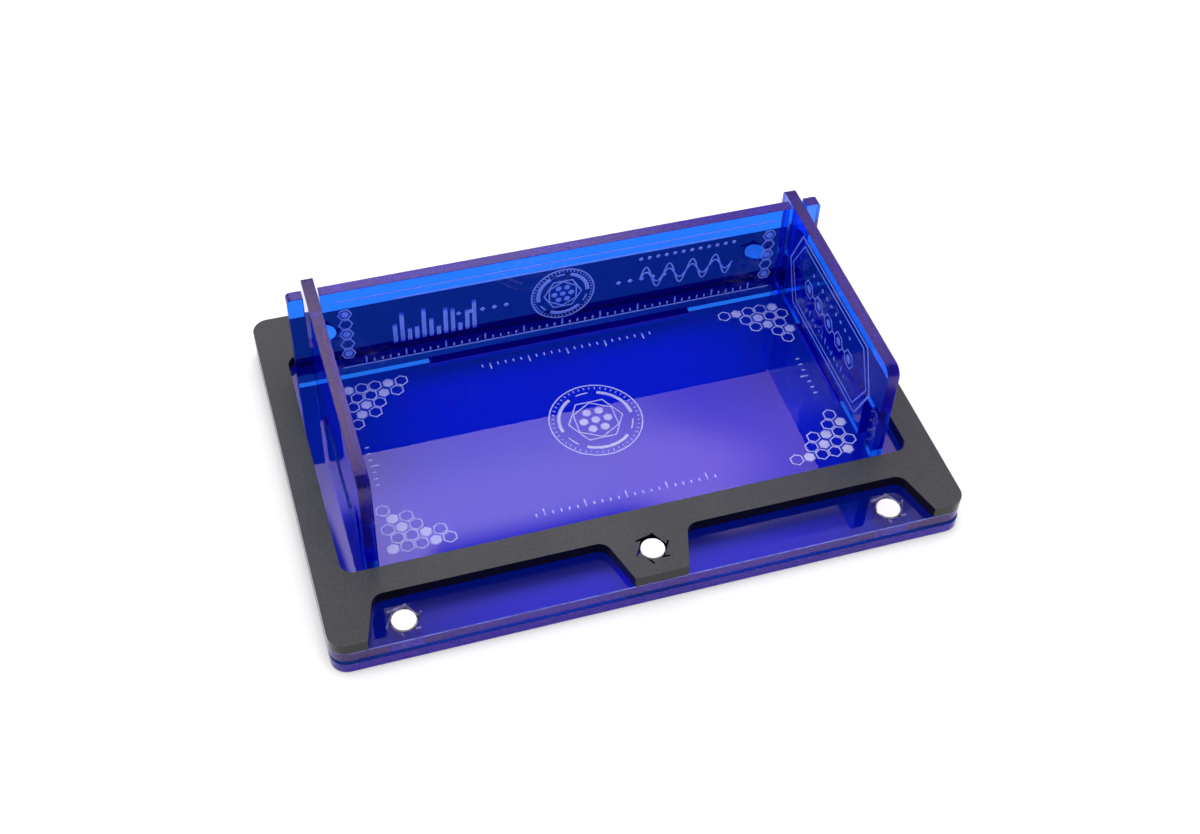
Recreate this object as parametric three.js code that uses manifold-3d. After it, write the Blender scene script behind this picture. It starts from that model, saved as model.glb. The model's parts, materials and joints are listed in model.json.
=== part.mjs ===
// Open-fronted acrylic dice tray in millimetres, +Z up, +X to the right, +Y to the back.
// Three plates are stacked as a base, three slotted walls stand in the middle plate, and
// five disc magnets sit flush in the plates, where another tray or a lid docks.
// The origin is the centre of the base's footprint, on the surface that the tray stands on.

import * as THREE from "three";
import { mergeVertices } from "three/addons/utils/BufferGeometryUtils.js";
import Module from "manifold-3d";

const wasm = await Module();
wasm.setup();

// Sheet stock and the base
const sheet = 3;
const baseWidth = 150;
const baseDepth = 102.5;
const baseCornerRadius = 4;
const bondGap = 0.3;
const bottomPlateLead = 0.45;

// Top frame: the bars round its opening, and the notches on both sides of its tongue
const sideBar = 6.5;
const frontBar = 18.9;
const rearBar = 14.4;
const openingCornerRadius = 3;
const notchDepth = 11.7;
const notchEdgeInset = 8.25;
const notchCornerRadius = 3;
const notchEndSlope = 0.3;
const tongueHalfWidth = 6.35;

// Walls: height above the floor, the free space between their ends and the frame, their tabs, the
// ears that they keep outside their laps, and their upper corners
const wallHeight = 29.5;
const earGap = 1.3;
const sideWallFrontGap = 2.2;
const sideWallRearGap = 1.2;
const sideTabLength = 28.2;
const backTabLength = 68.6;
const wallEar = 3.9;
const frontCornerRadius = 2.8;
const wallCornerRadius = 1.2;

// Joints between the sheets: play beside a sheet in a slot, how far the walls stand off the middle
// of their lap slots, and the height of the crossed laps
const lapPlay = 0.4;
const backWallPush = 0.1;
const sideWallPush = 0.1;
const lapHeight = 13.45;
const lapGap = 0.3;
const tabPlay = 0.3;
const tabEndPlay = 0.5;

// Disc magnets, and the six-sided pockets whose edges run on as relief slits
const magnetDiameter = 6;
const magnetLength = 3;
const magnetEdgeBreak = 0.25;
const pocketPlay = 0.1;
const slitWidth = 0.4;
const slitReach = 3;
const pocketSides = 6;
const frontMagnetInset = 17.2;
const frontMagnetSetback = 5.5;
const centreMagnetSetback = 7.2;
const rearMagnetInset = 17.2;

// Round stretches
const cornerSteps = 6;
const magnetSteps = 48;

// How far a cutting shape runs past both faces of the sheet that it cuts
const cutOverrun = 1;

// Heights of the stacked faces
const floorUnderside = sheet + bondGap;
const floorTop = floorUnderside + sheet;

// Edges of the plates and of the frame's opening, measured from the middle of the plates
const rightEdge = baseWidth / 2;
const rearEdge = baseDepth / 2;
const frontEdge = -rearEdge;
const openingRight = rightEdge - sideBar;
const openingFront = frontEdge + frontBar;
const openingRear = rearEdge - rearBar;

// Places of the walls
const lapWidth = sheet + 2 * lapPlay;
const lapCentreInset = wallEar + lapWidth / 2;
const backWallLength = 2 * (openingRight - earGap);
const sideWallX = backWallLength / 2 - lapCentreInset - sideWallPush;
const sideWallFront = openingFront + sideWallFrontGap;
const sideWallRear = openingRear - sideWallRearGap;
const sideWallLength = sideWallRear - sideWallFront;
const sideWallMiddle = sideWallFront + sideWallLength / 2;
const backWallY = sideWallRear - lapCentreInset + backWallPush;

const magnetRadius = magnetDiameter / 2;
const frontMagnetX = rightEdge - frontMagnetInset;
const frontMagnetY = frontEdge + frontMagnetSetback;
const centreMagnetY = frontEdge + centreMagnetSetback;
const rearMagnetX = rightEdge - rearMagnetInset;
const rearMagnetY = openingRear + rearBar / 2;

const blueAcrylic = new THREE.MeshStandardMaterial({ color: 0x1038d8, roughness: 0.08, metalness: 0 });
const blackAcrylic = new THREE.MeshStandardMaterial({ color: 0x55555c, roughness: 0.5, metalness: 0 });
const nickel = new THREE.MeshStandardMaterial({ color: 0xf2f0ea, roughness: 0.2, metalness: 1 });

// A closed path through corners given as [x, y, radius], each rounded where it has a radius.
function roundedPath(path, corners) {
  corners.forEach(([x, y, radius], index) => {
    const corner = new THREE.Vector2(x, y);
    const before = new THREE.Vector2(...corners.at(index - 1));
    const after = new THREE.Vector2(...corners[(index + 1) % corners.length]);
    const inward = before.sub(corner).normalize();
    const outward = after.sub(corner).normalize();
    const halfTurn = Math.acos(inward.dot(outward)) / 2;
    const reach = radius ? radius / Math.tan(halfTurn) : 0;
    const start = corner.clone().addScaledVector(inward, reach);
    if (index) path.lineTo(start.x, start.y);
    else path.moveTo(start.x, start.y);
    if (!radius) return;
    const middle = inward.clone().add(outward).normalize();
    const centre = corner.clone().addScaledVector(middle, radius / Math.sin(halfTurn));
    const end = corner.clone().addScaledVector(outward, reach);
    const from = Math.atan2(start.y - centre.y, start.x - centre.x);
    const to = Math.atan2(end.y - centre.y, end.x - centre.x);
    const clockwise = inward.cross(outward) > 0;
    path.absarc(centre.x, centre.y, radius, from, to, clockwise);
  });
  path.closePath();
  return path;
}

function rectangle(left, front, right, rear, radius) {
  return [
    [left, front, radius],
    [right, front, radius],
    [right, rear, radius],
    [left, rear, radius],
  ];
}

function extrude(shape, thickness) {
  return new THREE.ExtrudeGeometry(shape, {
    depth: thickness,
    bevelEnabled: false,
    curveSegments: cornerSteps,
  });
}

// A closed geometry as a solid that can be cut.
function solidOf(geometry) {
  const bare = geometry.clone();
  bare.deleteAttribute("normal");
  bare.deleteAttribute("uv");
  const merged = mergeVertices(bare);
  const vertProperties = new Float32Array(merged.attributes.position.array);
  const triVerts = new Uint32Array(merged.index.array);
  return new wasm.Manifold(new wasm.Mesh({ numProp: 3, vertProperties, triVerts }));
}

function geometryOf(solid) {
  const { vertProperties, triVerts } = solid.getMesh();
  const geometry = new THREE.BufferGeometry();
  geometry.setAttribute("position", new THREE.BufferAttribute(vertProperties, 3));
  geometry.setIndex(new THREE.BufferAttribute(triVerts, 1));
  const flat = geometry.toNonIndexed();
  flat.computeVertexNormals();
  return flat;
}

// A sheet of the given outline with the given openings cut right through it.
function cutSheet(outline, openings) {
  let solid = solidOf(extrude(outline, sheet));
  for (const opening of openings) {
    const cutter = extrude(opening, sheet + 2 * cutOverrun);
    cutter.translate(0, 0, -cutOverrun);
    solid = solid.subtract(solidOf(cutter));
  }
  return geometryOf(solid);
}

function mesh(name, geometry, material) {
  const made = new THREE.Mesh(geometry, material.clone());
  made.name = name;
  return made;
}

// A pocket that grips a disc on six flats. Each flat runs on past its corner as a narrow slit
// with a round end, so the sheet gives a little as the magnet is pressed in.
function magnetPocket(x, y) {
  const flatDistance = magnetRadius + pocketPlay;
  const turn = (2 * Math.PI) / pocketSides;
  const slitInner = flatDistance - slitWidth;
  const flatStart = (flatDistance * Math.cos(turn) - slitInner) / Math.sin(turn);
  const pocket = new THREE.Shape();
  for (let side = 0; side < pocketSides; side += 1) {
    const facing = Math.PI / 2 + side * turn;
    const outward = new THREE.Vector2(Math.cos(facing), Math.sin(facing));
    const along = new THREE.Vector2(-outward.y, outward.x);
    const at = (distance, run) =>
      new THREE.Vector2(x, y).addScaledVector(outward, distance).addScaledVector(along, run);
    const start = at(flatDistance, flatStart);
    if (side) pocket.lineTo(start.x, start.y);
    else pocket.moveTo(start.x, start.y);
    const slitEnd = at(flatDistance - slitWidth / 2, slitReach);
    pocket.absarc(slitEnd.x, slitEnd.y, slitWidth / 2, facing, facing + Math.PI, false);
  }
  pocket.closePath();
  return pocket;
}

function slot(centreX, centreY, width, depth) {
  const halfWidth = width / 2;
  const halfDepth = depth / 2;
  const corners = rectangle(centreX - halfWidth, centreY - halfDepth, centreX + halfWidth, centreY + halfDepth, 0);
  return roundedPath(new THREE.Shape(), corners);
}

function plateOutline() {
  return rectangle(-rightEdge, frontEdge, rightEdge, rearEdge, baseCornerRadius);
}

// The clear blue sheet underneath, bonded a little ahead of the two plates above it.
function bottomPlate() {
  const outline = roundedPath(new THREE.Shape(), plateOutline());
  const plate = mesh("bottom_plate", extrude(outline, sheet), blueAcrylic);
  plate.position.y = -bottomPlateLead;
  return plate;
}

// The blue sheet that is the tray's floor. Three slots take the wall tabs and two pockets
// take the front magnets.
function floorPlate() {
  const outline = roundedPath(new THREE.Shape(), plateOutline());
  const slotWidth = sheet + 2 * tabPlay;
  const sideSlotLength = sideTabLength + 2 * tabEndPlay;
  const backSlotLength = backTabLength + 2 * tabEndPlay;
  const openings = [
    slot(-sideWallX, sideWallMiddle, slotWidth, sideSlotLength),
    slot(sideWallX, sideWallMiddle, slotWidth, sideSlotLength),
    slot(0, backWallY, backSlotLength, slotWidth),
    magnetPocket(-frontMagnetX, frontMagnetY),
    magnetPocket(frontMagnetX, frontMagnetY),
  ];
  const plate = mesh("floor_plate", cutSheet(outline, openings), blueAcrylic);
  plate.position.z = floorUnderside;
  return plate;
}

// The black sheet on top: a frame with a wide opening, and a front bar that is notched on both
// sides of a tongue, so that what docks there slides in over the front magnets.
function topFrame() {
  const notchRear = frontEdge + notchDepth;
  const notchOuter = rightEdge - notchEdgeInset;
  const slant = notchDepth * notchEndSlope;
  const frontHalf = [
    [tongueHalfWidth, frontEdge, 0],
    [tongueHalfWidth + slant, notchRear, notchCornerRadius],
    [notchOuter - slant, notchRear, notchCornerRadius],
    [notchOuter, frontEdge, 0],
    [rightEdge, frontEdge, baseCornerRadius],
    [rightEdge, rearEdge, baseCornerRadius],
  ];
  const mirrored = frontHalf.map(([x, y, radius]) => [-x, y, radius]).reverse();
  const outline = roundedPath(new THREE.Shape(), [...frontHalf, ...mirrored]);
  const opening = rectangle(-openingRight, openingFront, openingRight, openingRear, openingCornerRadius);
  const openings = [
    roundedPath(new THREE.Shape(), opening),
    magnetPocket(0, centreMagnetY),
    magnetPocket(-rearMagnetX, rearMagnetY),
    magnetPocket(rearMagnetX, rearMagnetY),
  ];
  const frame = mesh("top_frame", cutSheet(outline, openings), blackAcrylic);
  frame.position.z = floorTop;
  return frame;
}

// The lower edge of a wall from end to end: shoulders that stand on the floor, and between them
// the tab that fills its slot in the floor plate.
function tabCorners(wallMiddle, tabLength) {
  const tabStart = wallMiddle - tabLength / 2;
  const tabEnd = wallMiddle + tabLength / 2;
  return [
    [tabStart, 0, 0],
    [tabStart, -sheet, 0],
    [tabEnd, -sheet, 0],
    [tabEnd, 0, 0],
  ];
}

// A side wall seen from the side. It has a lap slot near each end, open at the bottom, because
// the same sheet serves on either side; only its rear slot holds a wall.
function sideWallShape() {
  const lapTop = lapHeight + lapGap / 2;
  const lapEnd = wallEar + lapWidth;
  const corners = [
    [0, 0, 0],
    [wallEar, 0, 0],
    [wallEar, lapTop, 0],
    [lapEnd, lapTop, 0],
    [lapEnd, 0, 0],
    ...tabCorners(sideWallLength / 2, sideTabLength),
    [sideWallLength - lapEnd, 0, 0],
    [sideWallLength - lapEnd, lapTop, 0],
    [sideWallLength - wallEar, lapTop, 0],
    [sideWallLength - wallEar, 0, 0],
    [sideWallLength, 0, 0],
    [sideWallLength, wallHeight, wallCornerRadius],
    [0, wallHeight, frontCornerRadius],
  ];
  return roundedPath(new THREE.Shape(), corners);
}

function sideWall(name, centreX) {
  const wall = mesh(name, extrude(sideWallShape(), sheet), blueAcrylic);
  const diagonal = new THREE.Vector3(1, 1, 1).normalize();
  wall.quaternion.setFromAxisAngle(diagonal, (2 * Math.PI) / 3);
  wall.position.set(centreX - sheet / 2, sideWallFront, floorTop);
  return wall;
}

// The back wall, with a lap slot at each end, open at the top, that the side walls drop into.
function backWall() {
  const lapBottom = lapHeight - lapGap / 2;
  const lapEnd = wallEar + lapWidth;
  const corners = [
    [0, 0, 0],
    ...tabCorners(backWallLength / 2, backTabLength),
    [backWallLength, 0, 0],
    [backWallLength, wallHeight, wallCornerRadius],
    [backWallLength - wallEar, wallHeight, 0],
    [backWallLength - wallEar, lapBottom, 0],
    [backWallLength - lapEnd, lapBottom, 0],
    [backWallLength - lapEnd, wallHeight, 0],
    [lapEnd, wallHeight, 0],
    [lapEnd, lapBottom, 0],
    [wallEar, lapBottom, 0],
    [wallEar, wallHeight, 0],
    [0, wallHeight, wallCornerRadius],
  ];
  const outline = roundedPath(new THREE.Shape(), corners);
  const wall = mesh("back_wall", extrude(outline, sheet), blueAcrylic);
  wall.rotation.x = Math.PI / 2;
  wall.position.set(-backWallLength / 2, backWallY + sheet / 2, floorTop);
  return wall;
}

// A disc magnet whose edges are broken, standing on the given height.
function magnet(name, x, y, underside) {
  const profile = [
    new THREE.Vector2(0, 0),
    new THREE.Vector2(magnetRadius - magnetEdgeBreak, 0),
    new THREE.Vector2(magnetRadius, magnetEdgeBreak),
    new THREE.Vector2(magnetRadius, magnetLength - magnetEdgeBreak),
    new THREE.Vector2(magnetRadius - magnetEdgeBreak, magnetLength),
    new THREE.Vector2(0, magnetLength),
  ];
  const disc = mesh(name, new THREE.LatheGeometry(profile, magnetSteps), nickel);
  disc.rotation.x = Math.PI / 2;
  disc.position.set(x, y, underside);
  return disc;
}

const tray = new THREE.Group();
tray.position.y = bottomPlateLead / 2;
tray.add(
  bottomPlate(),
  floorPlate(),
  topFrame(),
  backWall(),
  sideWall("left_wall", -sideWallX),
  sideWall("right_wall", sideWallX),
  magnet("magnet_front_left", -frontMagnetX, frontMagnetY, floorUnderside),
  magnet("magnet_front_right", frontMagnetX, frontMagnetY, floorUnderside),
  magnet("magnet_front_centre", 0, centreMagnetY, floorTop),
  magnet("magnet_rear_left", -rearMagnetX, rearMagnetY, floorTop),
  magnet("magnet_rear_right", rearMagnetX, rearMagnetY, floorTop),
);

const part = new THREE.Group();
part.add(tray);
export default part;
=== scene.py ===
"""Looks of an open-fronted acrylic dice tray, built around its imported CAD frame."""

import json
import math

import bmesh
import bpy
from bpy.props import FloatProperty, FloatVectorProperty, PointerProperty
from mathutils import Matrix, Quaternion, Vector

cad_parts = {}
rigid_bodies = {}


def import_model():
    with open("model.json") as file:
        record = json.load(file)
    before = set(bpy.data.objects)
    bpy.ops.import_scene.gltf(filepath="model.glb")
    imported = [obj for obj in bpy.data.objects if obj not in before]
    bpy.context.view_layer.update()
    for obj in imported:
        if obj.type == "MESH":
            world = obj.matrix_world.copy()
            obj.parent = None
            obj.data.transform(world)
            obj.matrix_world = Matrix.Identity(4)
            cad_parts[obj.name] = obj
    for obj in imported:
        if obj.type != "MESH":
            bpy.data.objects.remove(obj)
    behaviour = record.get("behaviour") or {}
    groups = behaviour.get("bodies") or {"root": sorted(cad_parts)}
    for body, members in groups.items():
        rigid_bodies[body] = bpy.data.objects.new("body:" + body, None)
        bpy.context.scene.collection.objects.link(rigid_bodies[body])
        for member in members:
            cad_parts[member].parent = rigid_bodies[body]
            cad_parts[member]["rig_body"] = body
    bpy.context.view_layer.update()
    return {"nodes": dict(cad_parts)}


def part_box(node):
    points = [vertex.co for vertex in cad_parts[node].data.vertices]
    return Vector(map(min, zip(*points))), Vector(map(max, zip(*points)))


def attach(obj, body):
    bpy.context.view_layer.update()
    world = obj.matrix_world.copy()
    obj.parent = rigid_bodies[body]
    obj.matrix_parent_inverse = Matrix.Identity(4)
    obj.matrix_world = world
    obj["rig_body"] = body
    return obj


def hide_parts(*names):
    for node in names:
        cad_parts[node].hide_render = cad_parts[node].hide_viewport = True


bl_info = {
    "name": "Acrylic dice tray",
    "version": (1, 0, 0),
    "blender": (4, 5, 0),
    "location": "3D View > Sidebar > Dice tray",
    "description": "Finishes the plates, walls and magnets of an acrylic dice tray",
    "category": "Object",
}

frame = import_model()

AXES = "XYZ"
PLATES = {"bottom_plate": "Z", "floor_plate": "Z"}
WALLS = {"back_wall": "Y", "left_wall": "X", "right_wall": "X"}
MAGNETS = [name for name in frame["nodes"] if name.startswith("magnet_")]
BODY_OF = {name: node["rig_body"] for name, node in frame["nodes"].items()}

# Where a sheet's materials stand in its list; the last of all is its chamfer's.
FACE_LOOK, CUT_LOOK, POCKET_LOOK = range(3)

# Turns, shares and steps of the engraved marks.
FULL_TURN = 2 * math.pi
POINT_UP = math.pi / 6
DIAMOND = math.pi / 4
ROW_RISE = math.sqrt(3) / 2
CIRCLE_SIDES = 72
DIAL_SHARES = {
    "outer": 0.6, "inner": 0.5, "ticks": 0.92, "tick": 0.07, "bands": 0.79, "petals": 0.27, "cell": 0.2
}
STUD_INPUTS = {"Count": "Int", "Sides": "Int", "Size": "Vector"}
TOP_SHARE = 0.62
LEVEL = 0.95

# What tells one corner, face or edge of a sheet from another.
SAME_PLACE = 1e-7
SAME_WAY = 0.999
LEAST_LEAN = 0.2
FLAT = math.radians(0.5)
SHARP = math.radians(40.0)
SMOOTH = math.radians(28.0)
FACE_TILT = 0.7
CHAMFER_TILT = 0.3
UPWARD_TILT = 0.5
POCKET_REACH = 0.0046

WHITE = (1.0, 1.0, 1.0)
LIGHT_BOUNCES = 64
CARD_SIDES = (-0.3, 0.3)
CARD_ENDS = (0.1, 0.365)
CARD_PLACE = 0.2

# Each fade: where it begins and ends, and its value at both where that isn't 0 and 1. Places are in
# metres, but for contact's, a share of open sky, and the sky's own, which are parts of a direction.
FADES = {
    "glow_left": (-0.066, -0.03),
    "glow_right": (0.024, 0.064, 1.0, 0.0),
    "wider_front": (-0.04, -0.036),
    "wider_back": (-0.012, 0.0, 0.01, 0.0),
    "well_front": (-0.036, -0.033),
    "well_back": (0.018, 0.03, 1.0, 0.0),
    "notch_front": (-0.052, -0.048, 0.5, 1.0),
    "notch_back": (-0.047, -0.042, 1.0, 0.0),
    "contact": (0.4, 1.0),
    "sky_behind": (-0.2, 0.3),
    "sky_low": (0.8, 0.9, 1.0, 0.0),
    "card_left": (CARD_SIDES[0], -0.22),
    "card_right": (0.24, CARD_SIDES[1], 1.0, 0.0),
    "dimmer": (0.1, 0.15, 1.0, 0.48),
    "slant": (0.235, 0.3, -0.034, 0.024),
    "card_foot": (0.155, 0.18),
    "card_lower": (0.235, 0.28, 0.7, 1.0),
    "card_top": (0.294, 0.32, 1.0, 0.0),
    "top_left": (-0.052, -0.038, -0.04, 0.036),
    "top_middle": (-0.024, 0.0, 1.0, 0.0),
    "top_right": (0.08, 0.15, 0.0, 0.038),
    "over_card": (0.347, 0.363),
    "over_right": (0.14, 0.2, 0.95, 0.4),
    "violet_right": (0.03, 0.15),
    "violet_top": (0.3, 0.33, 1.0, 0.0),
}


def opaque(colour, share=1.0):
    """A share of a colour, with full alpha."""
    return (*[share * channel for channel in colour], 1.0)


class Signal:
    """A node's socket that arithmetic can be written on."""

    def __init__(self, tree, socket):
        self.tree = tree
        self.socket = socket

    def __add__(self, other):
        return self.tree.maths("ADD", self, other)

    def __sub__(self, other):
        return self.tree.maths("SUBTRACT", self, other)

    def __rsub__(self, other):
        return self.tree.maths("SUBTRACT", other, self)

    def __mul__(self, other):
        return self.tree.maths("MULTIPLY", self, other)

    __radd__ = __add__
    __rmul__ = __mul__


class NodeTree:
    """A node tree, with the few ways in which this script adds nodes to it."""

    def __init__(self, tree):
        self.tree = tree

    def node(self, kind, settings=None, values=None):
        made = self.tree.nodes.new(kind)
        for name, setting in (settings or {}).items():
            setattr(made, name, setting)
        for socket, value in (values or {}).items():
            self.feed(made.inputs[socket], value)
        return made

    def feed(self, socket, value):
        if isinstance(value, Signal):
            self.tree.links.new(value.socket, socket)
        else:
            socket.default_value = value

    def signal(self, kind, settings=None, values=None, output=0):
        return Signal(self, self.node(kind, settings, values).outputs[output])

    def maths(self, operation, first, second=0.0):
        return self.signal("ShaderNodeMath", {"operation": operation}, {0: first, 1: second})

    def mixed_colours(self, share, first, second):
        colours = {0: share, 6: first, 7: second}
        return self.signal("ShaderNodeMix", {"data_type": "RGBA"}, colours, output=2)

    def between(self, pattern, low, high, least=0.0, most=1.0):
        values = {"Value": pattern, "From Min": low, "From Max": high, "To Min": least, "To Max": most}
        return self.signal("ShaderNodeMapRange", {"interpolation_type": "SMOOTHSTEP"}, values)

    def fade(self, pattern, name):
        """One of the named fades, along a pattern."""
        return self.between(pattern, *FADES[name])

    def shades(self, pattern, colour, low, high=1.0):
        """A colour that rises with a pattern from one share of itself to another."""
        return self.mixed_colours(pattern, opaque(colour, low), opaque(colour, high))

    def parts(self, vector):
        """The x, y and z of a vector."""
        split = self.node("ShaderNodeSeparateXYZ", {}, {0: vector})
        return [Signal(self, split.outputs[letter]) for letter in AXES]


class Finish(NodeTree):
    """A material on Object coordinates: one Principled shader and the patterns that feed it."""

    def __init__(self, name):
        material = bpy.data.materials.new(name)
        material.use_nodes = True
        material.node_tree.nodes.clear()
        super().__init__(material.node_tree)
        self.material = material
        self.place = self.signal("ShaderNodeTexCoord", output="Object")

    def noise(self, scale, detail=3.0, roughness=0.6, stretch=(1.0, 1.0, 1.0)):
        place = self.signal("ShaderNodeMapping", {}, {"Vector": self.place, "Scale": stretch})
        values = {"Vector": place, "Scale": scale, "Detail": detail, "Roughness": roughness}
        return self.signal("ShaderNodeTexNoise", {}, values, output="Fac")

    def bump(self, height, distance):
        return self.signal("ShaderNodeBump", {}, {"Height": height, "Distance": distance})

    def shine(self, values, absorbed=None):
        shader = self.signal("ShaderNodeBsdfPrincipled", {}, values)
        outputs = {"Surface": shader}
        if absorbed:
            outputs["Volume"] = self.signal("ShaderNodeVolumeAbsorption", {}, absorbed)
        self.node("ShaderNodeOutputMaterial", {}, outputs)
        return self.material


class Recipe(NodeTree):
    """A Geometry Nodes tree with named inputs, for engraved marks on the plane z = 0."""

    def __init__(self, name, inputs):
        super().__init__(bpy.data.node_groups.new(name, "GeometryNodeTree"))
        sockets = self.tree.interface
        sockets.new_socket("Marks", in_out="OUTPUT", socket_type="NodeSocketGeometry")
        for label, kind in {"Path": "Geometry", **inputs, "Face": "Material", "Rim": "Material"}.items():
            sockets.new_socket(label, in_out="INPUT", socket_type=f"NodeSocket{kind}")
        self.outputs = self.node("NodeGroupInput").outputs

    def given(self, label):
        return Signal(self, self.outputs[label])

    def upright(self, angle):
        return self.signal("ShaderNodeCombineXYZ", {}, {"Z": angle})

    def stud(self):
        """A stud of two units' height whose flat sides stand one unit from its middle."""
        sides = self.given("Sides")
        half_side = self.maths("DIVIDE", math.pi, sides)
        reach = self.maths("DIVIDE", 1.0, self.maths("COSINE", half_side))
        sizes = {"Vertices": sides, "Radius Top": TOP_SHARE, "Radius Bottom": 1.0, "Depth": 2.0}
        values = {
            "Geometry": self.signal("GeometryNodeMeshCone", {}, sizes),
            "Translation": (0.0, 0.0, -1.0),
            "Rotation": self.upright(half_side),
            "Scale": self.signal("ShaderNodeCombineXYZ", {}, {"X": reach, "Y": reach, "Z": 1.0}),
        }
        return self.signal("GeometryNodeTransform", {}, values)

    def studs(self, points, turn):
        values = {"Points": points, "Instance": self.stud(), "Rotation": turn, "Scale": self.given("Size")}
        return self.signal("GeometryNodeInstanceOnPoints", {}, values, output="Instances")

    def end(self, marks):
        """Makes the copies real and gives their slopes the rim's finish."""
        real = self.signal("GeometryNodeRealizeInstances", {}, {"Geometry": marks})
        values = {"Geometry": real, "Material": self.given("Face")}
        faced = self.signal("GeometryNodeSetMaterial", {}, values)
        normal = self.signal("GeometryNodeInputNormal", output="Normal")
        slope = self.maths("LESS_THAN", self.maths("ABSOLUTE", self.parts(normal)[2]), LEVEL)
        values = {"Geometry": faced, "Selection": slope, "Material": self.given("Rim")}
        self.node("NodeGroupOutput", {}, {0: self.signal("GeometryNodeSetMaterial", {}, values)})
        return self

    def run(self, values, path=None):
        """The plain mesh that the recipe makes with these inputs."""
        carrier = new_object("marks", path or bpy.data.meshes.new("marks"))
        step = carrier.modifiers.new("marks", "NODES")
        step.node_group = self.tree
        for socket in self.tree.interface.items_tree:
            if socket.in_out == "INPUT" and socket.name in values:
                step[socket.identifier] = values[socket.name]
        graph = bpy.context.evaluated_depsgraph_get()
        made = bpy.data.meshes.new_from_object(carrier.evaluated_get(graph))
        bpy.data.meshes.remove(carrier.data)
        return made


def row_recipe():
    """Studs in a straight row."""
    inputs = {**STUD_INPUTS, "Start": "Vector", "Step": "Vector", "Turn": "Float"}
    recipe = Recipe("engraved_row", inputs)
    places = {
        "Count": recipe.given("Count"),
        "Start Location": recipe.given("Start"),
        "Offset": recipe.given("Step"),
    }
    line = recipe.signal("GeometryNodeMeshLine", {"mode": "OFFSET"}, places)
    return recipe.end(recipe.studs(line, recipe.upright(recipe.given("Turn"))))


def ring_recipe():
    """Studs on an arc, each turned outwards."""
    inputs = {**STUD_INPUTS, "Centre": "Vector", "Radius": "Float", "Sweep": "Float"}
    recipe = Recipe("engraved_ring", inputs)
    sizes = {
        "Resolution": recipe.given("Count"),
        "Radius": recipe.given("Radius"),
        "Start Angle": 0.0,
        "Sweep Angle": recipe.given("Sweep"),
    }
    arc = recipe.signal("GeometryNodeCurveArc", {"mode": "RADIUS"}, sizes)
    place = recipe.signal("GeometryNodeInputPosition")
    axes = {"axis": "X", "pivot_axis": "Z"}
    outward = recipe.signal("FunctionNodeAlignRotationToVector", axes, {"Vector": place})
    moved = {"Geometry": recipe.studs(arc, outward), "Translation": recipe.given("Centre")}
    return recipe.end(recipe.signal("GeometryNodeTransform", {}, moved))


def line_recipe():
    """A strip with sloped sides along each path."""
    recipe = Recipe("engraved_line", {"Width": "Float", "Relief": "Float"})
    width = recipe.given("Width")
    curve = recipe.signal("GeometryNodeMeshToCurve", {}, {"Mesh": recipe.given("Path")})
    flat = recipe.signal("GeometryNodeSetCurveNormal", {"mode": "Z_UP"}, {"Curve": curve})
    sizes = {
        "Bottom Width": width * TOP_SHARE,
        "Top Width": width,
        "Offset": 0.0,
        "Height": recipe.given("Relief") * 2.0,
    }
    profile = recipe.signal("GeometryNodeCurvePrimitiveQuadrilateral", {"mode": "TRAPEZOID"}, sizes)
    strip = {"Curve": flat, "Profile Curve": profile, "Fill Caps": True}
    return recipe.end(recipe.signal("GeometryNodeCurveToMesh", {}, strip))


def a_colour(name, description, default):
    return FloatVectorProperty(
        name=name, description=description, default=default, subtype="COLOR", size=3, min=0.0, max=1.0
    )


def a_length(name, description, default):
    return FloatProperty(name=name, description=description, default=default, unit="LENGTH", precision=5)


def a_share(name, description, default):
    return FloatProperty(name=name, description=description, default=default, min=0.0, subtype="FACTOR")


def an_amount(name, description, default, least=0.0):
    return FloatProperty(name=name, description=description, default=default, min=least)


def a_place(name, description, default):
    return FloatVectorProperty(
        name=name, description=description, default=default, subtype="TRANSLATION", unit="LENGTH"
    )


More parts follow.
